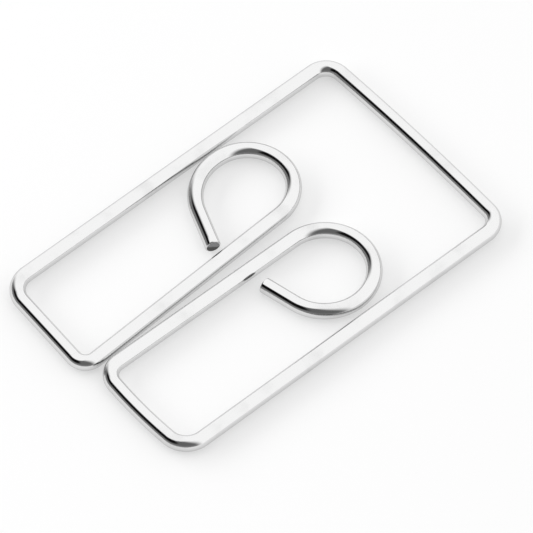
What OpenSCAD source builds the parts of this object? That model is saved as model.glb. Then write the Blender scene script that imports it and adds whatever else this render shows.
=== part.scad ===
// Wire paper clip with two eye-ended tongues.
//
// One round wire is bent flat into a rectangular frame. At the middle of the
// front both ends of the wire turn back between the rails as two tongues, and
// each tongue curls outward into an open eye that ends in a short cut tail.
//
// The wire is followed from the middle of the back bar to each free end as a
// route of bends and straight runs, so a changed size carries along every
// stretch that comes after it. Left and right are as seen from the front.

/* [Wire] */
// Diameter of the wire
wire_d = 1.2; // [0.8:0.05:1.5]
// Rounding of the edge at each cut end
end_round = 0.1; // [0.02:0.01:0.2]

/* [Frame] */
// Width over the two rails
frame_w = 20.45; // [18:0.05:28]
// Straight length of the right rail
rail_l = 27.3; // [24:0.1:36]
// How much longer the left rail runs than the right one
left_rail_extra = 0.3; // [0:0.05:1]
// Inside radius of the two back corners
back_corner_r = 0.9; // [0.6:0.05:2]
// Inside radius of the two front corners
front_corner_r = 1.2; // [0.6:0.05:2]
// Rise of the back bar's middle above its corners
bar_bow = 0.13; // [0.02:0.01:0.5]

/* [Feet and heels] */
// Inside radius of the left heel
left_heel_r = 0.45; // [0.4:0.05:1.2]
// Inside radius of the right heel
right_heel_r = 0.8; // [0.4:0.05:1.2]
// Clearance between the two heels
heel_gap = 0.08; // [0.05:0.01:0.5]
// Angle by which the left foot runs forward
left_foot_slant = 3.3; // [-2:0.1:6]
// Angle by which the right foot runs forward
right_foot_slant = -0.6; // [-2:0.1:6]
// Angle through which the left foot is bowed forward
left_foot_bow = 0; // [0:0.5:20]
// Angle through which the right foot is bowed forward
right_foot_bow = 8.5; // [0:0.5:20]

/* [Left tongue] */
// Straight length of the left arm
left_arm_l = 18.4; // [15:0.05:20]
// Angle by which the left arm leans outward
left_arm_lean = 2.8; // [0:0.1:5]
// Turn of the left eye's first bend
left_eye_turn = 167; // [150:0.5:180]
// Turn of the left eye's second bend
left_curl_turn = 78.5; // [65:0.5:90]
// How much wider the left eye's second bend is than its first
left_curl_slack = 0.9; // [0:0.05:1.2]
// Clearance between the left eye and the left rail
left_eye_gap = 0.12; // [0.05:0.01:1]
// Clearance between the left tail and the left arm
left_tail_gap = 0.45; // [0.1:0.05:1.5]

/* [Right tongue] */
// Straight length of the right arm
right_arm_l = 16.65; // [15:0.05:20]
// Angle by which the right arm leans outward
right_arm_lean = 0.5; // [0:0.1:5]
// Turn of the right eye's first bend
right_eye_turn = 180; // [150:0.5:180]
// Turn of the right eye's second bend
right_curl_turn = 76.5; // [65:0.5:90]
// How much wider the right eye's second bend is than its first
right_curl_slack = 0.1; // [0:0.05:1.2]
// Clearance between the right eye and the right rail
right_eye_gap = 0.5; // [0.05:0.01:1]
// Clearance between the right tail and the right arm
right_tail_gap = 0.9; // [0.1:0.05:1.5]

/* [Hidden] */

nickel = "silver";
wire_facets = 48;
facets_per_bend = 24;

// The two sides of the clip, and the sizes that differ between them
LEFT = "left";
RIGHT = "right";
function on(side, left, right) = side == LEFT ? left : right;
function side_rail_l(side) = rail_l + on(side, left_rail_extra, 0);
function heel_r(side) = on(side, left_heel_r, right_heel_r);
function foot_slant(side) = on(side, left_foot_slant, right_foot_slant);
function foot_bow(side) = on(side, left_foot_bow, right_foot_bow);
function arm_l(side) = on(side, left_arm_l, right_arm_l);
function arm_lean(side) = on(side, left_arm_lean, right_arm_lean);
function eye_turn(side) = on(side, left_eye_turn, right_eye_turn);
function curl_turn(side) = on(side, left_curl_turn, right_curl_turn);
function curl_slack(side) = on(side, left_curl_slack, right_curl_slack);
function eye_gap(side) = on(side, left_eye_gap, right_eye_gap);
function tail_gap(side) = on(side, left_tail_gap, right_tail_gap);

// Radii and places of the wire's centre line, with x outward from the middle
wire_r = wire_d / 2;
back_bend = back_corner_r + wire_r;
front_bend = front_corner_r + wire_r;
rail_x = frame_w / 2 - wire_r;
function heel_bend(side) = heel_r(side) + wire_r;

// The back bar is one slack arc that runs into the two back corners
bar_reach = rail_x - back_bend;
bar_bend = (bar_reach * bar_reach + bar_bow * bar_bow) / (2 * bar_bow) + back_bend;
bar_turn = asin(bar_reach / (bar_bend - back_bend));

// The inmost point of each heel lies half the heel clearance from the middle
heel_x = wire_r + heel_gap / 2;

// A bowed foot leaves its corner further forward, and meets its heel further back
function slant_at_corner(side) = foot_slant(side) + foot_bow(side) / 2;
function slant_at_heel(side) = foot_slant(side) - foot_bow(side) / 2;

// Each foot spans the way from its corner to its heel
function foot_span(side) =
    let (corner_end = rail_x - front_bend * (1 - sin(slant_at_corner(side))))
    let (heel_start = heel_x + heel_bend(side) * (1 + sin(slant_at_heel(side))))
    (corner_end - heel_start) / cos(foot_slant(side));

// Each eye is as wide as the room between its arm and its rail
function arm_end_x(side) =
    let (lean = arm_lean(side))
    heel_x + heel_bend(side) * (1 - cos(lean)) + arm_l(side) * sin(lean);
function eye_bend(side) =
    let (lean = arm_lean(side))
    let (room = rail_x - wire_d - eye_gap(side) - arm_end_x(side))
    (room - curl_slack(side) * (1 + cos(lean + eye_turn(side)))) / (1 + cos(lean));

// A stretch of wire is [radius, turn] for a bend, or [length, 0] for a straight run
function bend(r, turn) = [r, turn];
function run(length) = [length, 0];
function bowed(span, turn) = turn == 0 ? run(span) : bend(span / (2 * sin(turn / 2)), turn);

// The stretches from the middle of the back bar to the end of the eye, in order
STRETCHES = ["bar", "back_corner", "rail", "front_corner", "foot", "heel", "arm", "eye", "curl", "tail"];
function route(side) = [
    bend(bar_bend, bar_turn),
    bend(back_bend, 90 - bar_turn),
    run(side_rail_l(side)),
    bend(front_bend, 90 - slant_at_corner(side)),
    bowed(foot_span(side), foot_bow(side)),
    bend(heel_bend(side), 90 + slant_at_heel(side) + arm_lean(side)),
    run(arm_l(side)),
    bend(eye_bend(side), eye_turn(side)),
    bend(eye_bend(side) + curl_slack(side), curl_turn(side))
];

// A place on the wire is [x, y, heading], and every bend turns clockwise
function ahead(heading) = [cos(heading), sin(heading)];
function beside(heading) = [sin(heading), -cos(heading)];
function spot(place) = [place.x, place.y];
function at(xy, heading) = [xy.x, xy.y, heading];
function after(place, w) =
    let (heading = place.z - w.y)
    w.y == 0
        ? at(spot(place) + w.x * ahead(heading), heading)
        : at(spot(place) + w.x * (beside(place.z) - beside(heading)), heading);

// Each stretch starts where the one before it ends, and the first at the bar's middle
function follow(rows, place, i = 0) =
    i == len(rows) ? [place] : concat([place], follow(rows, after(place, rows[i]), i + 1));
function places(side) = follow(route(side), at([0, 0], 0));
function nth(name) = search([name], STRETCHES)[0];
function start_of(side, name) = places(side)[nth(name)];

// Each tail runs on from its eye until its end stands clear of the arm
function tail_l(side) =
    let (arm = start_of(side, "arm"))
    let (tail = start_of(side, "tail"))
    let (from_arm = (spot(tail) - spot(arm)) * beside(arm.z))
    let (closing = -ahead(tail.z) * beside(arm.z))
    let (end_edge = wire_r * abs(beside(tail.z) * beside(arm.z)))
    (from_arm - wire_r - end_edge - tail_gap(side)) / closing;

// The origin lies under the middle of the clip, which rests on the wire's underside
function lowest_y(place, w) =
    w.y > 0 && place.z > -180 && place.z - w.y < -180
        ? place.y - w.x * (1 + cos(place.z))
        : place.y;
function front_y(side) =
    let (rows = route(side))
    let (starts = places(side))
    min([for (i = [0 : len(rows) - 1]) lowest_y(starts[i], rows[i])]);
middle_y = min(front_y(LEFT), front_y(RIGHT)) / 2;

module half(side) {
    translate([0, -middle_y, wire_r])
        if (side == LEFT) mirror([1, 0, 0]) children();
        else children();
}

module from_place(place) {
    translate([place.x, place.y, 0]) rotate(place.z) children();
}

// A bent stretch, starting at the local origin along +X and turning clockwise
module bent_wire(r, turn) {
    translate([0, -r, 0])
        rotate(90 - turn)
            rotate_extrude(angle = turn, $fn = ceil(facets_per_bend * 360 / turn))
                translate([r, 0])
                    circle(d = wire_d, $fn = wire_facets);
}

// A straight stretch, starting at the local origin along +X
module straight_wire(length) {
    rotate([0, 90, 0]) cylinder(d = wire_d, h = length, $fn = wire_facets);
}

// A straight stretch whose far end is cut square, with its edge rounded
module cut_wire(length) {
    rotate([0, 90, 0])
        rotate_extrude($fn = wire_facets) {
            square([wire_r, length - end_round]);
            square([wire_r - end_round, length]);
            translate([wire_r - end_round, length - end_round])
                circle(r = end_round, $fn = wire_facets);
        }
}

// One stretch of a side's route, in its place on the clip
module stretch(side, name) {
    w = route(side)[nth(name)];
    color(nickel)
        half(side)
            from_place(start_of(side, name))
                if (w.y == 0) straight_wire(w.x);
                else bent_wire(w.x, w.y);
}

// The last stretch of a side's route, which ends in the cut
module tail(side) {
    color(nickel)
        half(side)
            from_place(start_of(side, "tail"))
                cut_wire(tail_l(side));
}

// The back bar spans both sides, so it starts as far left as it ends right
module back_bar() {
    left_end = bar_bend * (beside(0) - beside(bar_turn));
    color(nickel)
        half(RIGHT)
            from_place(at(left_end, bar_turn))
                bent_wire(bar_bend, 2 * bar_turn);
}

module left_back_corner() {
    stretch(LEFT, "back_corner");
}

module left_rail() {
    stretch(LEFT, "rail");
}

module left_front_corner() {
    stretch(LEFT, "front_corner");
}

module left_foot() {
    stretch(LEFT, "foot");
}

module left_heel() {
    stretch(LEFT, "heel");
}

module left_arm() {
    stretch(LEFT, "arm");
}

module left_eye() {
    stretch(LEFT, "eye");
}

module left_curl() {
    stretch(LEFT, "curl");
}

module left_tail() {
    tail(LEFT);
}

module right_back_corner() {
    stretch(RIGHT, "back_corner");
}

module right_rail() {
    stretch(RIGHT, "rail");
}

module right_front_corner() {
    stretch(RIGHT, "front_corner");
}

module right_foot() {
    stretch(RIGHT, "foot");
}

module right_heel() {
    stretch(RIGHT, "heel");
}

module right_arm() {
    stretch(RIGHT, "arm");
}

module right_eye() {
    stretch(RIGHT, "eye");
}

module right_curl() {
    stretch(RIGHT, "curl");
}

module right_tail() {
    tail(RIGHT);
}

back_bar();
left_back_corner();
left_rail();
left_front_corner();
left_foot();
left_heel();
left_arm();
left_eye();
left_curl();
left_tail();
right_back_corner();
right_rail();
right_front_corner();
right_foot();
right_heel();
right_arm();
right_eye();
right_curl();
right_tail();
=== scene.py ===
"""A paper clip bent from one plated wire, dressed and lit for a studio picture.

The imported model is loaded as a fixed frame. Each of its three bodies gets one unbroken wire that follows
the same bends and straight runs as the solids, and each free end of the wire gets its sheared face.
Lengths are in metres and angles in degrees. Left and right are as seen from the front of the clip.
"""
import logging
import math
from dataclasses import dataclass
from enum import Enum
from typing import Union

import bpy
import numpy as np
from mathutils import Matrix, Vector


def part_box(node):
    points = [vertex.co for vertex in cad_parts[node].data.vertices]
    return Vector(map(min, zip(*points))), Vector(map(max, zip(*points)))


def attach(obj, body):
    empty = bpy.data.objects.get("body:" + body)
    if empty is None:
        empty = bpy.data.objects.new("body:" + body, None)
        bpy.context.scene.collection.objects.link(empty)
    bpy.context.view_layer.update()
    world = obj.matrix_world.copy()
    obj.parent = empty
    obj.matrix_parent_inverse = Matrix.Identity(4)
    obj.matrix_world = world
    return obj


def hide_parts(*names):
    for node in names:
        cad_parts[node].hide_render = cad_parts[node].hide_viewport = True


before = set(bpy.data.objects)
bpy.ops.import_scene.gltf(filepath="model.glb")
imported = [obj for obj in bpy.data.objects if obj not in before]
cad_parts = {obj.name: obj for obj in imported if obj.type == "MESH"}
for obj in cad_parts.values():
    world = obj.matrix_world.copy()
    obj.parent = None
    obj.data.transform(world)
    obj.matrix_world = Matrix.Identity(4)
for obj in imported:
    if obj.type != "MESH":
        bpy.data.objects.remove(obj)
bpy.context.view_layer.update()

LOG = logging.getLogger("paper_clip")
MM = 0.001
SAME_DISTANCE = 1e-9
UPWARD = Vector((0.0, 0.0, 1.0))
LAY_ATTRIBUTE = "lay"
BEND_ATTRIBUTE = "bend"
Triple = tuple[float, float, float]
Colour = tuple[float, float, float, float]
Socket = bpy.types.NodeSocket
Value = Union[Socket, float, Triple, Colour]


class Side(Enum):
    """The clip's two sides; the value is the way along X that they lie."""

    LEFT = -1
    RIGHT = 1

    @property
    def word(self) -> str:
        """The side's name in node and body names."""
        return self.name.lower()


class Effect(Enum):
    """The surface effects that more than one finish uses, each a shader node group."""

    DRAWN_LINES = "drawn_lines"
    HANDLING = "handling"
    PITS = "pits"


@dataclass(frozen=True)
class SideSizes:
    """Sizes that differ between the two sides of the clip."""

    rail_length: float
    foot_slant: float
    foot_bow: float
    heel_inside: float
    arm_length: float
    arm_lean: float
    eye_turn: float
    curl_turn: float
    curl_slack: float
    eye_gap: float
    tail_gap: float


@dataclass(frozen=True)
class ClipSizes:
    """The clip's driving sizes, the same as those of the solids."""

    wire_d: float = 1.2 * MM
    end_round: float = 0.1 * MM
    frame_width: float = 20.45 * MM
    back_corner_inside: float = 0.9 * MM
    front_corner_inside: float = 1.2 * MM
    bar_bow: float = 0.13 * MM
    heel_gap: float = 0.08 * MM
    left: SideSizes = SideSizes(
        rail_length=27.6 * MM,
        foot_slant=3.3,
        foot_bow=0.0,
        heel_inside=0.45 * MM,
        arm_length=18.4 * MM,
        arm_lean=2.8,
        eye_turn=167.0,
        curl_turn=78.5,
        curl_slack=0.9 * MM,
        eye_gap=0.12 * MM,
        tail_gap=0.45 * MM,
    )
    right: SideSizes = SideSizes(
        rail_length=27.3 * MM,
        foot_slant=-0.6,
        foot_bow=8.5,
        heel_inside=0.8 * MM,
        arm_length=16.65 * MM,
        arm_lean=0.5,
        eye_turn=180.0,
        curl_turn=76.5,
        curl_slack=0.1 * MM,
        eye_gap=0.5 * MM,
        tail_gap=0.9 * MM,
    )

    @property
    def wire_r(self) -> float:
        """Radius of the wire."""
        return self.wire_d / 2

    @property
    def back_bend(self) -> float:
        """Centre line radius of the back corners."""
        return self.back_corner_inside + self.wire_r

    @property
    def front_bend(self) -> float:
        """Centre line radius of the front corners."""
        return self.front_corner_inside + self.wire_r

    @property
    def heel_x(self) -> float:
        """How far each heel's inmost centre line point lies from the middle."""
        return self.wire_r + self.heel_gap / 2

    @property
    def rail_x(self) -> float:
        """Distance of each rail's centre line from the middle."""
        return self.frame_width / 2 - self.wire_r

    @property
    def bar_reach(self) -> float:
        """Distance of the back corners' centres from the middle."""
        return self.rail_x - self.back_bend

    @property
    def bar_bend(self) -> float:
        """Centre line radius of the bowed back bar."""
        return (self.bar_reach**2 + self.bar_bow**2) / (2 * self.bar_bow) + self.back_bend

    @property
    def bar_turn(self) -> float:
        """Angle through which each half of the back bar turns."""
        return math.degrees(math.asin(self.bar_reach / (self.bar_bend - self.back_bend)))

    def of(self, side: Side) -> SideSizes:
        """The sizes of one side."""
        return self.left if side is Side.LEFT else self.right

    def heel_bend(self, side: Side) -> float:
        """Centre line radius of a heel."""
        return self.of(side).heel_inside + self.wire_r

    def slant_at_corner(self, side: Side) -> float:
        """How far forward a foot points where it leaves its corner."""
        return self.of(side).foot_slant + self.of(side).foot_bow / 2

    def slant_at_heel(self, side: Side) -> float:
        """How far forward a foot points where it meets its heel."""
        return self.of(side).foot_slant - self.of(side).foot_bow / 2


@dataclass(frozen=True)
class Place:
    """A point on the wire's centre line, and the way the wire runs on from it."""

    x: float
    y: float
    heading: float

    def at_height(self, height: float) -> Vector:
        """The point at a height over the clip's underside."""
        return Vector((self.x, self.y, height))

    def ahead(self) -> Vector:
        """Unit vector along the wire."""
        angle = math.radians(self.heading)
        return Vector((math.cos(angle), math.sin(angle), 0.0))

    def beside(self) -> Vector:
        """Unit vector to the right of the wire, in the clip's plane."""
        angle = math.radians(self.heading)
        return Vector((math.sin(angle), -math.cos(angle), 0.0))

    def moved_on(self, distance: float) -> "Place":
        """The place a given way on along a straight wire."""
        spot = self.at_height(0.0) + distance * self.ahead()
        return Place(spot.x, spot.y, self.heading)

    def turned_back(self) -> "Place":
        """The same point, with the wire followed the other way."""
        return Place(self.x, self.y, self.heading + 180.0)


@dataclass(frozen=True)
class Stretch:
    """One stretch of the wire: a straight run, or a bend with a radius and a turn."""

    name: str
    length: float = 0.0
    radius: float = 0.0
    turn: float = 0.0

    @property
    def is_bend(self) -> bool:
        """Whether the wire turns along this stretch."""
        return self.turn > 0.0

    @property
    def along(self) -> float:
        """Length of the centre line."""
        return self.radius * math.radians(self.turn) if self.is_bend else self.length

    def centre(self, start: Place, hand: int) -> Vector:
        """The middle of a bend's circle, at height 0; hand is 1 for a clockwise bend and -1 otherwise."""
        return start.at_height(0.0) + self.radius * hand * start.beside()

    def end(self, start: Place, hand: int) -> Place:
        """The place where this stretch ends.

        Args:
            start: Where the stretch starts.
            hand: 1 for clockwise bends, -1 for the other way.

        Returns:
            The place at which the next stretch starts.
        """
        if not self.is_bend:
            return start.moved_on(self.length)
        turned = Place(start.x, start.y, start.heading - hand * self.turn)
        spot = self.centre(start, hand) - self.radius * hand * turned.beside()
        return Place(spot.x, spot.y, turned.heading)


@dataclass(frozen=True)
class Route:
    """A wire's centre line: where it starts, which way it bends and its stretches in order."""

    start: Place
    hand: int
    stretches: tuple[Stretch, ...]

    def places(self) -> list[Place]:
        """Follow the wire from stretch to stretch.

        Returns:
            Where each stretch starts, and last where the wire ends.
        """
        places = [self.start]
        for stretch in self.stretches:
            places.append(stretch.end(places[-1], self.hand))
        return places

    def straighten(self, points: np.ndarray, height: float) -> tuple[np.ndarray, np.ndarray]:
        """Lay points of the wire's surface out along a straight wire.

        Args:
            points: Points on the wire, one per row.
            height: Height of the centre line over the clip's underside.

        Returns:
            The points as across, up and along coordinates, and for each point 1 on a bend or 0 on a run.
        """
        laid = np.zeros_like(points)
        bent = np.zeros(len(points))
        nearest = np.full(len(points), np.inf)
        up = points[:, 2] - height
        done = 0.0
        for stretch, start in zip(self.stretches, self.places()):
            measure = self._on_bend if stretch.is_bend else self._on_run
            across, along, miss = measure(points[:, :2], stretch, start)
            distance = np.hypot(np.hypot(across, up), miss)
            closer = distance < nearest - SAME_DISTANCE
            laid[closer] = np.column_stack([across, up, done + along])[closer]
            bent[closer] = float(stretch.is_bend)
            nearest = np.where(closer, distance, nearest)
            done += stretch.along
        return laid, bent

    def _on_bend(self, flat: np.ndarray, stretch: Stretch, start: Place) -> tuple[np.ndarray, ...]:
        """Measure points against a bend.

        Args:
            flat: Points in the clip's plane, one per row.
            stretch: The bend.
            start: Where the bend starts.

        Returns:
            For each point, how far it lies across the wire, along it, and past the bend's ends.
        """
        first = -self.hand * np.array(start.beside()[:2])
        spoke = flat - np.array(stretch.centre(start, self.hand)[:2])
        side = first[0] * spoke[:, 1] - first[1] * spoke[:, 0]
        angle = np.arctan2(-self.hand * side, spoke @ first)
        held = np.clip(angle, 0.0, math.radians(stretch.turn))
        across = self.hand * (stretch.radius - np.hypot(spoke[:, 0], spoke[:, 1]))
        return across, held * stretch.radius, np.abs(angle - held) * stretch.radius

    def _on_run(self, flat: np.ndarray, stretch: Stretch, start: Place) -> tuple[np.ndarray, ...]:
        """Measure points against a straight run.

        Args:
            flat: Points in the clip's plane, one per row.
            stretch: The run.
            start: Where the run starts.

        Returns:
            For each point, how far it lies across the wire, along it, and past the run's ends.
        """
        offset = flat - np.array((start.x, start.y))
        run = offset @ np.array(start.ahead()[:2])
        held = np.clip(run, 0.0, stretch.length)
        return offset @ np.array(start.beside()[:2]), held, np.abs(run - held)


@dataclass(frozen=True)
class ClipPlan:
    """The routes of the clip's wire, worked out from its sizes."""

    sizes: ClipSizes

    def foot(self, side: Side) -> Stretch:
        """A foot, straight or bowed, which spans the way from its corner to its heel.

        Args:
            side: The foot's side.

        Returns:
            The foot's stretch.
        """
        s = self.sizes
        own = s.of(side)
        at_corner = math.radians(s.slant_at_corner(side))
        at_heel = math.radians(s.slant_at_heel(side))
        corner_end = s.rail_x - s.front_bend * (1 - math.sin(at_corner))
        heel_start = s.heel_x + s.heel_bend(side) * (1 + math.sin(at_heel))
        span = (corner_end - heel_start) / math.cos(math.radians(own.foot_slant))
        if own.foot_bow == 0.0:
            return Stretch("foot", length=span)
        half_bow = math.radians(own.foot_bow) / 2
        return Stretch("foot", radius=span / (2 * math.sin(half_bow)), turn=own.foot_bow)

    def eye_bend(self, side: Side) -> float:
        """Work out an eye's first bend from the room between its arm and its rail.

        Args:
            side: The eye's side.

        Returns:
            The bend's centre line radius.
        """
        s = self.sizes
        own = s.of(side)
        lean = math.radians(own.arm_lean)
        arm_end = s.heel_x + s.heel_bend(side) * (1 - math.cos(lean)) + own.arm_length * math.sin(lean)
        room = s.rail_x - s.wire_d - own.eye_gap - arm_end
        turned = math.radians(own.arm_lean + own.eye_turn)
        return (room - own.curl_slack * (1 + math.cos(turned))) / (1 + math.cos(lean))

    def frame_side(self, side: Side) -> list[Stretch]:
        """The frame's wire on one side.

        Args:
            side: Which side.

        Returns:
            The stretches from the back bar to the heel.
        """
        s = self.sizes
        return [
            Stretch("back_corner", radius=s.back_bend, turn=90.0 - s.bar_turn),
            Stretch("rail", length=s.of(side).rail_length),
            Stretch("front_corner", radius=s.front_bend, turn=90.0 - s.slant_at_corner(side)),
            self.foot(side),
        ]

    def half_bar(self) -> Stretch:
        """Half of the back bar, from its middle."""
        return Stretch("back_bar", radius=self.sizes.bar_bend, turn=self.sizes.bar_turn)

    def bar_middle(self, side: Side) -> Place:
        """The middle of the back bar, with the wire followed towards one side."""
        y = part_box("back_bar")[1].y - self.sizes.wire_r
        return Place(0.0, y, 0.0 if side is Side.RIGHT else 180.0)

    def heel_start(self, side: Side) -> Place:
        """Where a foot ends and its heel starts, which is where the tongue is hinged."""
        stretches = (self.half_bar(), *self.frame_side(side))
        return Route(self.bar_middle(side), side.value, stretches).places()[-1]

    def frame_route(self) -> Route:
        """The frame's wire, from the left heel round the back to the right heel.

        Returns:
            The route.
        """
        bar = Stretch("back_bar", radius=self.sizes.bar_bend, turn=2 * self.sizes.bar_turn)
        left = reversed(self.frame_side(Side.LEFT))
        right = self.frame_side(Side.RIGHT)
        return Route(self.heel_start(Side.LEFT).turned_back(), Side.RIGHT.value, (*left, bar, *right))

    def tongue_route(self, side: Side) -> Route:
        """A tongue's wire, from its heel to its cut end.

        Args:
            side: The tongue's side.

        Returns:
            The route.
        """
        s = self.sizes
        own = s.of(side)
        eye = self.eye_bend(side)
        stretches = (
            Stretch("heel", radius=s.heel_bend(side), turn=90.0 + s.slant_at_heel(side) + own.arm_lean),
            Stretch("arm", length=own.arm_length),
            Stretch("eye", radius=eye, turn=own.eye_turn),
            Stretch("curl", radius=eye + own.curl_slack, turn=own.curl_turn),
        )
        bare = Route(self.heel_start(side), side.value, stretches)
        tail = Stretch("tail", length=self.tail_length(side, bare))
        return Route(bare.start, side.value, (*stretches, tail))

    def tail_length(self, side: Side, bare: Route) -> float:
        """Straight length of a tail, which ends clear of its arm.

        Args:
            side: The tail's side.
            bare: The tongue's route up to the tail.

        Returns:
            The length.
        """
        arm, tail = bare.places()[1], bare.places()[-1]
        outward = side.value * arm.beside()
        far = (tail.at_height(0.0) - arm.at_height(0.0)).dot(outward)
        closing = -tail.ahead().dot(outward)
        end_edge = self.sizes.wire_r * abs(tail.beside().dot(outward))
        return (far - self.sizes.wire_r - end_edge - self.sizes.of(side).tail_gap) / closing


class Graph:
    """A node tree with short calls to add and join nodes."""

    # A mix node's colour sockets come after those for plain numbers and vectors.
    MIX_COLOUR_INPUTS = slice(6, 8)
    MIX_COLOUR_OUTPUT = 2

    def __init__(self, tree: bpy.types.NodeTree) -> None:
        """Start on a node tree, emptied first."""
        self.tree = tree
        self.tree.nodes.clear()

    def feed(self, target: Socket, value: Value) -> None:
        """Give an input its value.

        Args:
            target: The input.
            value: An output to link to it, or a plain value.
        """
        if isinstance(value, Socket):
            self.tree.links.new(value, target)
        else:
            target.default_value = value

    def add(self, kind: str, **settings: object) -> bpy.types.Node:
        """Add a node.

        Args:
            kind: Blender's name of the node type.
            settings: Node properties, or what feeds an input, under its name with spaces as underscores.

        Returns:
            The new node.
        """
        node = self.tree.nodes.new(kind)
        for key, value in settings.items():
            if hasattr(node, key):
                setattr(node, key, value)
            else:
                self.feed(node.inputs[key.replace("_", " ")], value)
        return node

    def math(self, operation: str, *values: Value) -> Socket:
        """A maths node on sockets or plain numbers.

        Args:
            operation: Blender's name of the operation.
            values: What feeds its inputs, in order.

        Returns:
            The result's socket.
        """
        node = self.add("ShaderNodeMath", operation=operation)
        for target, value in zip(node.inputs, values):
            self.feed(target, value)
        return node.outputs[0]

    def dot(self, vector: Socket, way: Vector) -> Socket:
        """How far a vector reaches along a given direction.

        Args:
            vector: The vector's socket.
            way: The direction.

        Returns:
            The distance's socket, or that of the cosine between them where both have length 1.
        """
        node = self.add("ShaderNodeVectorMath", operation="DOT_PRODUCT", Vector=vector)
        node.inputs[1].default_value = way
        return node.outputs["Value"]

    def smooth_step(self, value: Socket, low: float, high: float) -> Socket:
        """A soft step in a value.

        Args:
            value: The value's socket.
            low: Where the step is 0.
            high: Where the step is 1, over or under low.

        Returns:
            The step's socket.
        """
        node = self.add("ShaderNodeMapRange", interpolation_type="SMOOTHSTEP", Value=value)
        rising = low < high
        self.feed(node.inputs["From Min"], min(low, high))
        self.feed(node.inputs["From Max"], max(low, high))
        self.feed(node.inputs["To Min"], 0.0 if rising else 1.0)
        self.feed(node.inputs["To Max"], 1.0 if rising else 0.0)
        return node.outputs["Result"]

    def mix_colour(self, factor: Socket, first: Value, second: Value) -> Socket:
        """A colour between two colours or colour sockets.

        Args:
            factor: 0 gives the first colour and 1 the second.
            first: First colour or socket.
            second: Second colour or socket.

        Returns:
            The mixed colour's socket.
        """
        node = self.add("ShaderNodeMix", data_type="RGBA")
        self.feed(node.inputs[0], factor)
        for target, value in zip(node.inputs[self.MIX_COLOUR_INPUTS], (first, second)):
            self.feed(target, value)
        return node.outputs[self.MIX_COLOUR_OUTPUT]


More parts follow.
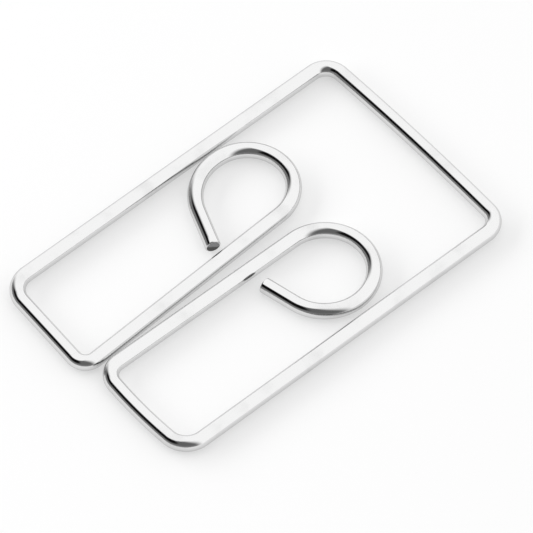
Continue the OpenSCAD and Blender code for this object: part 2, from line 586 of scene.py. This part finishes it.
@dataclass(frozen=True)
class SurfaceEffects:
    """Builds each shared surface effect once, as a shader node group.

    Cells are counted per metre, across the wire, up and along it.
    """

    line_cells: Triple = (24000.0, 24000.0, 260.0)
    line_detail: float = 3.0
    waver_cells: Triple = (1300.0, 1300.0, 210.0)
    waver_detail: float = 1.0
    smudge_detail: float = 4.0
    smudge_from: float = 0.48
    smudge_to: float = 0.78
    pit_rarity: float = 0.86

    def group(self, effect: Effect) -> bpy.types.ShaderNodeTree:
        """The node group of an effect, built on first use.

        Args:
            effect: The effect.

        Returns:
            The group.
        """
        made = bpy.data.node_groups.get(effect.value)
        if made is not None:
            return made
        builders = {
            Effect.DRAWN_LINES: self._drawn_lines,
            Effect.HANDLING: self._handling,
            Effect.PITS: self._pits,
        }
        return builders[effect](effect.value)

    def place(self, graph: Graph, effect: Effect, **values: Value) -> bpy.types.Node:
        """Put an effect into a material, with what feeds the group's inputs."""
        return graph.add("ShaderNodeGroup", node_tree=self.group(effect), **values)

    def _start(
        self, name: str, floats: tuple[str, ...], outputs: tuple[str, ...]
    ) -> tuple[Graph, bpy.types.Node, bpy.types.Node]:
        """Start a group with a vector input, float inputs and float outputs.

        Args:
            name: The group's name.
            floats: Names of the float inputs.
            outputs: Names of the float outputs.

        Returns:
            The group's graph, its input node and its output node.
        """
        tree = bpy.data.node_groups.new(name, "ShaderNodeTree")
        tree.interface.new_socket("Vector", in_out="INPUT", socket_type="NodeSocketVector")
        for key in floats:
            tree.interface.new_socket(key, in_out="INPUT", socket_type="NodeSocketFloat")
        for key in outputs:
            tree.interface.new_socket(key, in_out="OUTPUT", socket_type="NodeSocketFloat")
        graph = Graph(tree)
        return graph, graph.add("NodeGroupInput"), graph.add("NodeGroupOutput")

    @staticmethod
    def _scaled(graph: Graph, vector: Socket, factor: Socket) -> Socket:
        """The vector times a factor."""
        return graph.add("ShaderNodeVectorMath", operation="SCALE", Vector=vector, Scale=factor).outputs[0]

    @staticmethod
    def _noise(graph: Graph, vector: Socket, detail: float) -> Socket:
        """A noise value with one cell per unit of the vector."""
        return graph.add("ShaderNodeTexNoise", Vector=vector, Scale=1.0, Detail=detail).outputs[0]

    def _drawn_lines(self, name: str) -> bpy.types.ShaderNodeTree:
        """Fine lines along the wire from the drawing die, and the slow waver of its surface.

        Args:
            name: The group's name.

        Returns:
            The group.
        """
        graph, entry, result = self._start(name, ("Scale",), ("Lines", "Waver"))
        vector = entry.outputs["Vector"]
        fine = graph.add("ShaderNodeMapping", Vector=vector, Scale=self.line_cells).outputs[0]
        fine = self._scaled(graph, fine, entry.outputs["Scale"])
        slow = graph.add("ShaderNodeMapping", Vector=vector, Scale=self.waver_cells).outputs[0]
        graph.feed(result.inputs["Lines"], self._noise(graph, fine, self.line_detail))
        graph.feed(result.inputs["Waver"], self._noise(graph, slow, self.waver_detail))
        return graph.tree

    def _handling(self, name: str) -> bpy.types.ShaderNodeTree:
        """Soft smudges left by fingers and by other clips in the box.

        Args:
            name: The group's name.

        Returns:
            The group.
        """
        graph, entry, result = self._start(name, ("Scale", "Amount"), ("Smudge",))
        scaled = self._scaled(graph, entry.outputs["Vector"], entry.outputs["Scale"])
        clouds = self._noise(graph, scaled, self.smudge_detail)
        patches = graph.smooth_step(clouds, self.smudge_from, self.smudge_to)
        graph.feed(result.inputs["Smudge"], graph.math("MULTIPLY", patches, entry.outputs["Amount"]))
        return graph.tree

    def _pits(self, name: str) -> bpy.types.ShaderNodeTree:
        """Sparse small pits and nicks in the surface.

        Args:
            name: The group's name.

        Returns:
            The group.
        """
        graph, entry, result = self._start(name, ("Scale", "Size"), ("Pits",))
        spread = {key: entry.outputs[key] for key in ("Vector", "Scale")}
        cells = graph.add("ShaderNodeTexVoronoi", feature="F1", **spread)
        chance = graph.add("ShaderNodeSeparateColor", Color=cells.outputs["Color"])
        chosen = graph.math("GREATER_THAN", chance.outputs[0], self.pit_rarity)
        reach = graph.math("MULTIPLY", entry.outputs["Size"], chance.outputs[1])
        near = graph.math("LESS_THAN", cells.outputs["Distance"], reach)
        graph.feed(result.inputs["Pits"], graph.math("MULTIPLY", chosen, near))
        return graph.tree


class MetalMaterial:
    """A new material with one metal shader, to which a finish joins its nodes."""

    def __init__(self, name: str, **settings: Value) -> None:
        """Start the material.

        Args:
            name: The material's name.
            settings: Values for the shader's inputs that are the same all over the surface.
        """
        self.made = bpy.data.materials.new(name)
        self.made.use_nodes = True
        self.graph = Graph(self.made.node_tree)
        self.shader = self.graph.add("ShaderNodeBsdfPrincipled", **settings)
        self.graph.add("ShaderNodeOutputMaterial", Surface=self.shader.outputs[0])

    def surface(self, colour: Socket, rough: Socket, height: Socket, strength: float, relief: float) -> None:
        """Join what changes over the surface to the shader.

        Args:
            colour: The base colour.
            rough: The roughness.
            height: The relief's height, in parts of its full depth.
            strength: How strongly the relief shows.
            relief: The relief's full depth.
        """
        bump = self.graph.add("ShaderNodeBump", Strength=strength, Distance=relief, Height=height)
        self.graph.feed(self.shader.inputs["Base Color"], colour)
        self.graph.feed(self.shader.inputs["Roughness"], rough)
        self.graph.feed(self.shader.inputs["Normal"], bump.outputs["Normal"])


@dataclass(frozen=True)
class PlatedWireFinish:
    """Bright nickel plating on drawn wire, a little duller where it was bent."""

    name: str = "nickel_plated_wire"
    clean: Colour = (0.72, 0.72, 0.72, 1.0)
    handled: Colour = (0.64, 0.64, 0.64, 1.0)
    pitted: Colour = (0.10, 0.10, 0.10, 1.0)
    edge_tint: Colour = (0.85, 0.85, 0.85, 1.0)
    roughness: float = 0.06
    line_roughness: float = 0.03
    smudge_roughness: float = 0.06
    bend_roughness: float = 0.03
    line_scale: float = 1.0
    smudge_scale: float = 420.0
    smudge_amount: float = 1.0
    pit_scale: float = 700.0
    pit_size: float = 0.1
    relief: float = 0.0015 * MM
    relief_strength: float = 1.0
    line_height: float = 0.04
    pit_depth: float = 0.5

    def material(self, effects: SurfaceEffects) -> bpy.types.Material:
        """The finish as a material.

        Args:
            effects: The shared surface effects.

        Returns:
            The new material.
        """
        metal = MetalMaterial(self.name, Metallic=1.0, Specular_Tint=self.edge_tint)
        graph = metal.graph
        lay = graph.add("ShaderNodeAttribute", attribute_name=LAY_ATTRIBUTE).outputs["Vector"]
        bend = graph.add("ShaderNodeAttribute", attribute_name=BEND_ATTRIBUTE).outputs["Fac"]
        drawn = effects.place(graph, Effect.DRAWN_LINES, Vector=lay, Scale=self.line_scale)
        lines, waver = drawn.outputs["Lines"], drawn.outputs["Waver"]
        handling = {"Vector": lay, "Scale": self.smudge_scale, "Amount": self.smudge_amount}
        smudge = effects.place(graph, Effect.HANDLING, **handling).outputs["Smudge"]
        pitting = {"Vector": lay, "Scale": self.pit_scale, "Size": self.pit_size}
        pits = effects.place(graph, Effect.PITS, **pitting).outputs["Pits"]
        colour = graph.mix_colour(smudge, self.clean, self.handled)
        colour = graph.mix_colour(pits, colour, self.pitted)
        smoothest = self.roughness - self.line_roughness / 2
        rough = graph.math("MULTIPLY_ADD", lines, self.line_roughness, smoothest)
        rough = graph.math("MULTIPLY_ADD", smudge, self.smudge_roughness, rough)
        rough = graph.math("MULTIPLY_ADD", bend, self.bend_roughness, rough)
        height = graph.math("MULTIPLY_ADD", lines, self.line_height, waver)
        height = graph.math("MULTIPLY_ADD", pits, -self.pit_depth, height)
        metal.surface(colour, rough, height, self.relief_strength, self.relief)
        return metal.made


@dataclass(frozen=True)
class CutSteelFinish:
    """Bare steel where the wire was sheared: part burnished by the blade, part torn."""

    name: str = "sheared_steel"
    burnished: Colour = (0.30, 0.30, 0.305, 1.0)
    torn: Colour = (0.15, 0.148, 0.145, 1.0)
    metallic: float = 0.9
    roughness: float = 0.42
    torn_roughness: float = 0.25
    line_scale: float = 0.6
    smudge_scale: float = 5200.0
    smudge_amount: float = 1.0
    tear_from: float = -0.02 * MM
    tear_to: float = 0.12 * MM
    tear_wander: float = 0.2 * MM
    relief: float = 0.03 * MM
    relief_strength: float = 0.8
    line_height: float = 0.1

    def material(self, effects: SurfaceEffects, centre: Vector, along: Vector) -> bpy.types.Material:
        """The finish as a material for one cut face.

        Args:
            effects: The shared surface effects.
            centre: Middle of the cut face.
            along: Unit vector across the face, from the blade's first touch to where the steel tore.

        Returns:
            The new material.
        """
        steel = MetalMaterial(self.name, Metallic=self.metallic)
        graph = steel.graph
        spot = graph.add("ShaderNodeTexCoord").outputs["Object"]
        offset = graph.add("ShaderNodeVectorMath", operation="SUBTRACT", Vector=spot)
        offset.inputs[1].default_value = centre
        across = graph.dot(offset.outputs[0], along)
        drawn = effects.place(graph, Effect.DRAWN_LINES, Vector=spot, Scale=self.line_scale)
        handling = {"Vector": spot, "Scale": self.smudge_scale, "Amount": self.smudge_amount}
        smudge = effects.place(graph, Effect.HANDLING, **handling).outputs["Smudge"]
        edge = graph.math("MULTIPLY_ADD", smudge, self.tear_wander, across)
        tear = graph.smooth_step(edge, self.tear_from, self.tear_to)
        colour = graph.mix_colour(tear, self.burnished, self.torn)
        rough = graph.math("MULTIPLY_ADD", tear, self.torn_roughness, self.roughness)
        height = graph.math("MULTIPLY", tear, smudge)
        height = graph.math("MULTIPLY_ADD", drawn.outputs["Lines"], self.line_height, height)
        steel.surface(colour, rough, height, self.relief_strength, self.relief)
        return steel.made


@dataclass
class WireModeller:
    """Draws a round wire along a route, by hand tools: a ring is pulled along runs and spun round bends."""

    wire_r: float
    sides: int = 64
    bend_step: float = 1.5
    least_bend_steps: int = 12
    run_step: float = 0.5 * MM
    edge_rings: int = 6
    merge_distance: float = 1e-4 * MM
    sharp_angle: float = 40.0

    def start_ring(self, name: str, place: Place, radius: float, filled: bool) -> bpy.types.Object:
        """Add a ring across the wire as a new piece and open it for editing.

        Args:
            name: The piece's name.
            place: Where the ring stands.
            radius: The ring's radius.
            filled: Whether the ring is a disc.

        Returns:
            The new object, in edit mode with the ring selected.
        """
        bpy.ops.object.select_all(action="DESELECT")
        bpy.ops.mesh.primitive_circle_add(
            vertices=self.sides,
            radius=radius,
            fill_type="NGON" if filled else "NOTHING",
            location=place.at_height(self.wire_r),
            rotation=(0.0, math.radians(90.0), math.radians(place.heading)),
        )
        piece = bpy.context.object
        piece.name = name
        piece.data.name = name
        bpy.ops.object.transform_apply(location=True, rotation=True, scale=True)
        bpy.ops.object.mode_set(mode="EDIT")
        bpy.ops.mesh.select_all(action="SELECT")
        return piece

    def pull(self, place: Place, length: float) -> None:
        """Pull the selected ring straight on, in short steps.

        Args:
            place: Where the run starts.
            length: The run's length.
        """
        steps = max(1, round(length / self.run_step))
        for _ in range(steps):
            self.move_on(place, length / steps)

    def move_on(self, place: Place, length: float) -> None:
        """Extrude the selected ring once along the wire."""
        bpy.ops.mesh.extrude_region_move(TRANSFORM_OT_translate={"value": length * place.ahead()})

    def spin(self, stretch: Stretch, place: Place, hand: int) -> None:
        """Spin the selected ring round a bend; the tool turns clockwise about its axis.

        Args:
            stretch: The bend.
            place: Where the bend starts.
            hand: 1 for a clockwise bend, -1 for the other way.
        """
        centre = stretch.centre(place, hand)
        bpy.ops.mesh.spin(
            steps=max(self.least_bend_steps, round(stretch.turn / self.bend_step)),
            angle=math.radians(stretch.turn),
            center=(centre.x, centre.y, self.wire_r),
            axis=(0.0, 0.0, float(hand)),
        )

    def follow(self, route: Route) -> None:
        """Draw the selected ring along a whole route, to the end ring.

        Args:
            route: The wire's route.
        """
        for stretch, place in zip(route.stretches, route.places()):
            if stretch.is_bend:
                self.spin(stretch, place, route.hand)
            else:
                self.pull(place, stretch.length)

    def round_edge(self, place: Place, radius: float) -> None:
        """Round the wire's edge over a quarter circle that ends at a place.

        Args:
            place: The end of the wire.
            radius: Radius of the rounding.
        """
        size, reached = self.wire_r, 0.0
        for ring in range(1, self.edge_rings + 1):
            angle = math.radians(90.0 * ring / self.edge_rings)
            next_size = self.wire_r - radius * (1 - math.cos(angle))
            next_reach = radius * math.sin(angle)
            self.move_on(place, next_reach - reached)
            self.resize(place, next_reach - radius, next_size / size)
            size, reached = next_size, next_reach

    def resize(self, place: Place, past: float, factor: float) -> None:
        """Scale the selected ring about the centre line, at a distance past a place."""
        centre = place.at_height(self.wire_r) + past * place.ahead()
        bpy.ops.transform.resize(value=(factor, factor, factor), center_override=centre)

    def close(self) -> None:
        """Merge doubles and close both ends of the wire, then smooth it."""
        bpy.ops.mesh.select_all(action="SELECT")
        bpy.ops.mesh.remove_doubles(threshold=self.merge_distance)
        bpy.ops.mesh.fill_holes(sides=0)
        self.smooth()

    def smooth(self) -> None:
        """Point the faces outward, leave edit mode and smooth all but the sharp edges."""
        bpy.ops.mesh.select_all(action="SELECT")
        bpy.ops.mesh.normals_make_consistent(inside=False)
        bpy.ops.object.mode_set(mode="OBJECT")
        bpy.ops.object.shade_smooth_by_angle(angle=math.radians(self.sharp_angle))

    def lay_out(self, wire: bpy.types.Object, route: Route) -> None:
        """Give the mesh its coordinates along a straightened wire, and a mark on its bends.

        Args:
            wire: The finished wire.
            route: The route it follows.
        """
        points = np.zeros(len(wire.data.vertices) * 3)
        wire.data.vertices.foreach_get("co", points)
        laid, bent = route.straighten(points.reshape(-1, 3), self.wire_r)
        lay = wire.data.attributes.new(LAY_ATTRIBUTE, "FLOAT_VECTOR", "POINT")
        lay.data.foreach_set("vector", laid.astype(np.float32).ravel())
        bend = wire.data.attributes.new(BEND_ATTRIBUTE, "FLOAT", "POINT")
        bend.data.foreach_set("value", bent.astype(np.float32))


def report(piece: bpy.types.Object, nodes: list[str]) -> None:
    """Log a piece's size, and how far its box lies from that of the solids it stands for.

    Args:
        piece: The finished piece.
        nodes: The solids' names.
    """
    points = np.array([v.co for v in piece.data.vertices])
    low, high = points.min(0), points.max(0)
    boxes = [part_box(node) for node in nodes]
    solid_low = np.min([np.array(box[0]) for box in boxes], axis=0)
    solid_high = np.max([np.array(box[1]) for box in boxes], axis=0)
    off = max(np.abs(low - solid_low).max(), np.abs(high - solid_high).max())
    size = " x ".join(f"{extent / MM:.2f}" for extent in high - low)
    LOG.info("%s: %s mm, %d faces, box off by %.3f mm", piece.name, size, len(piece.data.polygons), off / MM)


@dataclass
class Frame:
    """The rectangular frame: back bar, corners, rails and feet as one unbroken wire."""

    plan: ClipPlan
    modeller: WireModeller
    finish: bpy.types.Material

    def build(self) -> bpy.types.Object:
        """Model the frame's wire and dress it.

        Returns:
            The finished piece.
        """
        route = self.plan.frame_route()
        wire = self.modeller.start_ring("frame_wire", route.start, self.modeller.wire_r, filled=False)
        self.modeller.follow(route)
        self.modeller.close()
        self.modeller.lay_out(wire, route)
        wire.data.materials.append(self.finish)
        nodes = ["back_bar"]
        nodes += [f"{side.word}_{part.name}" for side in Side for part in self.plan.frame_side(side)]
        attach(wire, "frame")
        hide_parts(*nodes)
        report(wire, nodes)
        return wire


@dataclass
class Tongue:
    """One sprung tongue: heel, arm, eye, curl and tail as one unbroken wire, with its sheared face.

    The crown lists the face's steps: each one's rise, in parts of the seat's depth, and its shrink.
    """

    side: Side
    plan: ClipPlan
    modeller: WireModeller
    finish: bpy.types.Material
    cut_finish: CutSteelFinish
    effects: SurfaceEffects
    twist_gap: float = 0.001 * MM
    face_seat: float = 0.03 * MM
    face_gap: float = 0.012 * MM
    crown: tuple[tuple[float, float], ...] = ((0.9, 1.0), (0.25, 0.94), (0.12, 0.7), (0.04, 0.35))
    blade_lean: float = 0.4

    def build(self) -> tuple[bpy.types.Object, bpy.types.Object]:
        """Model and dress the tongue's wire and its cut face, and give both back."""
        return self._wire(), self._cut_face()

    def _wire(self) -> bpy.types.Object:
        """The tongue's wire, with its end rounded and seated for the cut face.

        Returns:
            The finished piece.
        """
        route = self.plan.tongue_route(self.side)
        rounding = self.plan.sizes.end_round
        tail = route.stretches[-1]
        plain = Stretch(tail.name, length=tail.length - rounding)
        first = route.start.moved_on(self.twist_gap)
        wire_r = self.modeller.wire_r
        wire = self.modeller.start_ring(f"{self.side.word}_tongue_wire", first, wire_r, filled=False)
        self.modeller.follow(Route(route.start, route.hand, (*route.stretches[:-1], plain)))
        end = route.places()[-1]
        self.modeller.round_edge(end, rounding)
        face_r = wire_r - rounding
        self.modeller.move_on(end, 0.0)
        self.modeller.resize(end, 0.0, (face_r - self.face_gap / 2) / face_r)
        self.modeller.move_on(end, -self.face_seat)
        self.modeller.close()
        self.modeller.lay_out(wire, route)
        wire.data.materials.append(self.finish)
        nodes = [f"{self.side.word}_{part.name}" for part in route.stretches]
        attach(wire, f"{self.side.word}_tongue")
        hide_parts(*nodes)
        report(wire, nodes)
        return wire

    def _cut_face(self) -> bpy.types.Object:
        """The sheared face in the end of the wire, crowned a little towards its middle.

        Returns:
            The finished piece.
        """
        end = self.plan.tongue_route(self.side).places()[-1]
        seat = end.moved_on(-self.face_seat)
        radius = self.modeller.wire_r - self.plan.sizes.end_round - self.face_gap
        face = self.modeller.start_ring(f"{self.side.word}_cut_face", seat, radius, filled=True)
        for rise, shrink in self.crown:
            self.modeller.move_on(seat, rise * self.face_seat)
            self.modeller.resize(seat, rise * self.face_seat, shrink)
        self.modeller.smooth()
        blade = (self.blade_lean * end.beside() - UPWARD).normalized()
        middle = seat.at_height(self.modeller.wire_r)
        face.data.materials.append(self.cut_finish.material(self.effects, middle, blade))
        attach(face, f"{self.side.word}_tongue")
        LOG.info("%s: %.2f mm across", face.name, 2 * radius / MM)
        return face


def direction(azimuth: float, elevation: float) -> Vector:
    """Unit vector of a compass direction, where azimuth 0 is +Y and 90 is +X."""
    a, e = math.radians(azimuth), math.radians(elevation)
    return Vector((math.sin(a) * math.cos(e), math.cos(a) * math.cos(e), math.sin(e)))


@dataclass
class Studio:
    """A white tent behind the clip and a soft box over it, with a dim room in front, on a pale floor."""

    tent_white: float = 1.25
    room_grey: float = 0.16
    low_grey: float = 0.30
    dark_grey: float = 0.004
    tent_from: Vector = direction(1.0, 5.0)
    tent_softness: float = 0.20
    box_from: Vector = direction(245.0, 70.0)
    box_radius: float = 20.0
    box_softness: float = 5.0
    dark_azimuth: float = 210.0
    dark_elevation: float = 44.0
    dark_width: float = 40.0
    dark_height: float = 21.0
    dark_softness: float = 0.3
    room_low: float = 0.0
    room_high: float = 30.0
    floor_white: float = 0.84
    floor_lift: float = 0.52
    floor_size: float = 4.0
    key_strength: float = 7.3
    key_width: float = 1.2
    key_height: float = 0.3
    key_distance: float = 0.8
    key_from: Vector = direction(238.0, 25.0)

    def build(self) -> None:
        """Set up the tent, the key panel and the floor."""
        self._tent()
        self._key()
        self._floor()

    def _tent(self) -> None:
        """The world: white cloth and a soft box behind and over the clip, a dim room before it."""
        world = bpy.data.worlds.new("studio_tent")
        bpy.context.scene.world = world
        world.use_nodes = True
        graph = Graph(world.node_tree)
        ray = graph.add("ShaderNodeTexCoord").outputs["Generated"]
        cloth = graph.smooth_step(graph.dot(ray, self.tent_from), -self.tent_softness, self.tent_softness)
        outer = math.cos(math.radians(self.box_radius + self.box_softness))
        inner = math.cos(math.radians(self.box_radius - self.box_softness))
        box = graph.smooth_step(graph.dot(ray, self.box_from), outer, inner)
        low, high = (math.sin(math.radians(angle)) for angle in (self.room_low, self.room_high))
        near_floor = graph.smooth_step(graph.dot(ray, UPWARD), high, low)
        room = graph.mix_colour(near_floor, self._grey(self.room_grey), self._grey(self.low_grey))
        room = graph.mix_colour(self._opening(graph, ray), room, self._grey(self.dark_grey))
        colour = graph.mix_colour(graph.math("MAXIMUM", cloth, box), room, self._grey(self.tent_white))
        light = graph.add("ShaderNodeBackground", Color=colour, Strength=1.0)
        graph.add("ShaderNodeOutputWorld", Surface=light.outputs[0])

    def _opening(self, graph: Graph, ray: Socket) -> Socket:
        """The dark opening in front: 1 inside an oval patch of directions and 0 outside it.

        Args:
            graph: The world's graph.
            ray: The ray's direction.

        Returns:
            The mask's socket.
        """
        middle = direction(self.dark_azimuth, self.dark_elevation)
        across = direction(self.dark_azimuth + 90.0, 0.0)
        up = direction(self.dark_azimuth, self.dark_elevation + 90.0)
        parts = []
        for way, reach in ((across, self.dark_width), (up, self.dark_height)):
            part = graph.math("DIVIDE", graph.dot(ray, way), math.sin(math.radians(reach)))
            parts.append(graph.math("MULTIPLY", part, part))
        spread = graph.math("ADD", *parts)
        oval = graph.smooth_step(spread, 1.0 + self.dark_softness, 1.0 - self.dark_softness)
        ahead = graph.math("GREATER_THAN", graph.dot(ray, middle), 0.0)
        return graph.math("MULTIPLY", oval, ahead)

    @staticmethod
    def _grey(level: float) -> Colour:
        """A neutral colour."""
        return (level, level, level, 1.0)

    def _key(self) -> None:
        """A wide soft panel on the left, which shapes the shadows and stays out of reflections."""
        light = bpy.data.lights.new("key_panel", "AREA")
        light.shape = "RECTANGLE"
        light.size = self.key_width
        light.size_y = self.key_height
        light.energy = self.key_strength
        panel = bpy.data.objects.new("key_panel", light)
        bpy.context.scene.collection.objects.link(panel)
        panel.location = self.key_distance * self.key_from
        panel.rotation_euler = self.key_from.to_track_quat("Z", "Y").to_euler()
        panel.visible_glossy = False

    def _floor(self) -> None:
        """A plain pale floor under the clip, part of it seen as plain white."""
        bpy.ops.object.select_all(action="DESELECT")
        bpy.ops.mesh.primitive_plane_add(size=self.floor_size, location=(0.0, 0.0, 0.0))
        floor = bpy.context.object
        floor.name = "floor"
        made = bpy.data.materials.new("pale_floor")
        made.use_nodes = True
        graph = Graph(made.node_tree)
        paper = graph.add("ShaderNodeBsdfDiffuse", Color=self._grey(self.floor_white))
        white = graph.add("ShaderNodeEmission", Color=self._grey(1.0), Strength=1.0)
        path = graph.add("ShaderNodeLightPath")
        seen = graph.math("MAXIMUM", path.outputs["Is Camera Ray"], path.outputs["Is Glossy Ray"])
        seen = graph.math("MAXIMUM", seen, path.outputs["Is Transmission Ray"])
        mix = graph.add("ShaderNodeMixShader", Fac=graph.math("MULTIPLY", seen, self.floor_lift))
        graph.feed(mix.inputs[1], paper.outputs[0])
        graph.feed(mix.inputs[2], white.outputs[0])
        graph.add("ShaderNodeOutputMaterial", Surface=mix.outputs[0])
        floor.data.materials.append(made)


@dataclass
class PhotoCamera:
    """The camera at the photograph's place, for a square picture."""

    picture: int = 533
    azimuth: float = 49.015
    rise: float = 0.8212
    distance: float = 655.0 * MM
    pixels_per_metre: float = 13.7481 / MM
    target: Vector = Vector((0.0, 0.6925, 0.6)) * MM
    target_pixel: tuple[float, float] = (261.383, 250.783)
    sensor: float = 36.0
    clip_times: float = 100.0

    def build(self) -> bpy.types.Object:
        """Add the camera and make it the scene's own.

        Returns:
            The camera.
        """
        a, e = math.radians(self.azimuth), math.asin(self.rise)
        back = Vector((math.sin(a) * math.cos(e), -math.cos(a) * math.cos(e), math.sin(e)))
        right = Vector((math.cos(a), math.sin(a), 0.0))
        up = back.cross(right)
        middle = self.picture / 2
        aim = self.target + right * (middle - self.target_pixel[0]) / self.pixels_per_metre
        aim -= up * (middle - self.target_pixel[1]) / self.pixels_per_metre
        data = bpy.data.cameras.new("photo_camera")
        data.sensor_width = self.sensor
        data.lens = self.pixels_per_metre * self.distance * self.sensor / self.picture
        data.clip_start = self.distance / self.clip_times
        data.clip_end = self.distance * self.clip_times
        camera = bpy.data.objects.new("photo_camera", data)
        bpy.context.scene.collection.objects.link(camera)
        camera.location = aim + back * self.distance
        camera.rotation_euler = back.to_track_quat("Z", "Y").to_euler()
        bpy.context.scene.camera = camera
        return camera


def main() -> None:
    """Build the clip, the studio and the camera."""
    logging.basicConfig(level=logging.INFO, format="%(name)s: %(message)s")
    bpy.context.scene.view_settings.view_transform = "Standard"
    plan = ClipPlan(ClipSizes())
    modeller = WireModeller(plan.sizes.wire_r)
    effects = SurfaceEffects()
    plating = PlatedWireFinish().material(effects)
    PhotoCamera().build()
    Studio().build()
    Frame(plan, modeller, plating).build()
    for side in Side:
        Tongue(side, plan, modeller, plating, CutSteelFinish(), effects).build()


if __name__ == "__main__":
    main()
